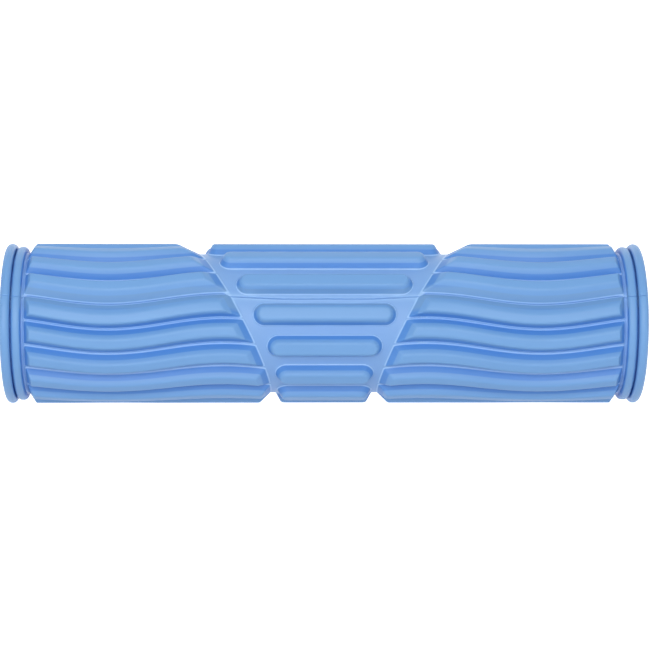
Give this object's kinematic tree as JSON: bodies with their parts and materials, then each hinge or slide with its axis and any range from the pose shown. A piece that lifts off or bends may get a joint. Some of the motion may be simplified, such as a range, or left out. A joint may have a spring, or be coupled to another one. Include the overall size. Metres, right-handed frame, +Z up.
{
  "type": "foam roller",
  "caption": "Textured foam massage roller: moulded EVA half shells with wavy ribs, straight bars and beaded ends, bonded round a hollow core tube",
  "frame": {"origin": "bottom centre: on the floor under the middle of the roller, which lies on its side", "axes": "+X along the roller, +Z up, -Y towards the viewer of the patterned front"},
  "size_m": [0.594, 0.15, 0.15],
  "materials": {
    "foam": "satin closed-cell EVA foam",
    "core": "matte moulded ABS"
  },
  "bodies": {
    "root": {"upper_foam_shell": "foam", "lower_foam_shell": "foam", "core_tube": "core"}
  },
  "joints": []
}
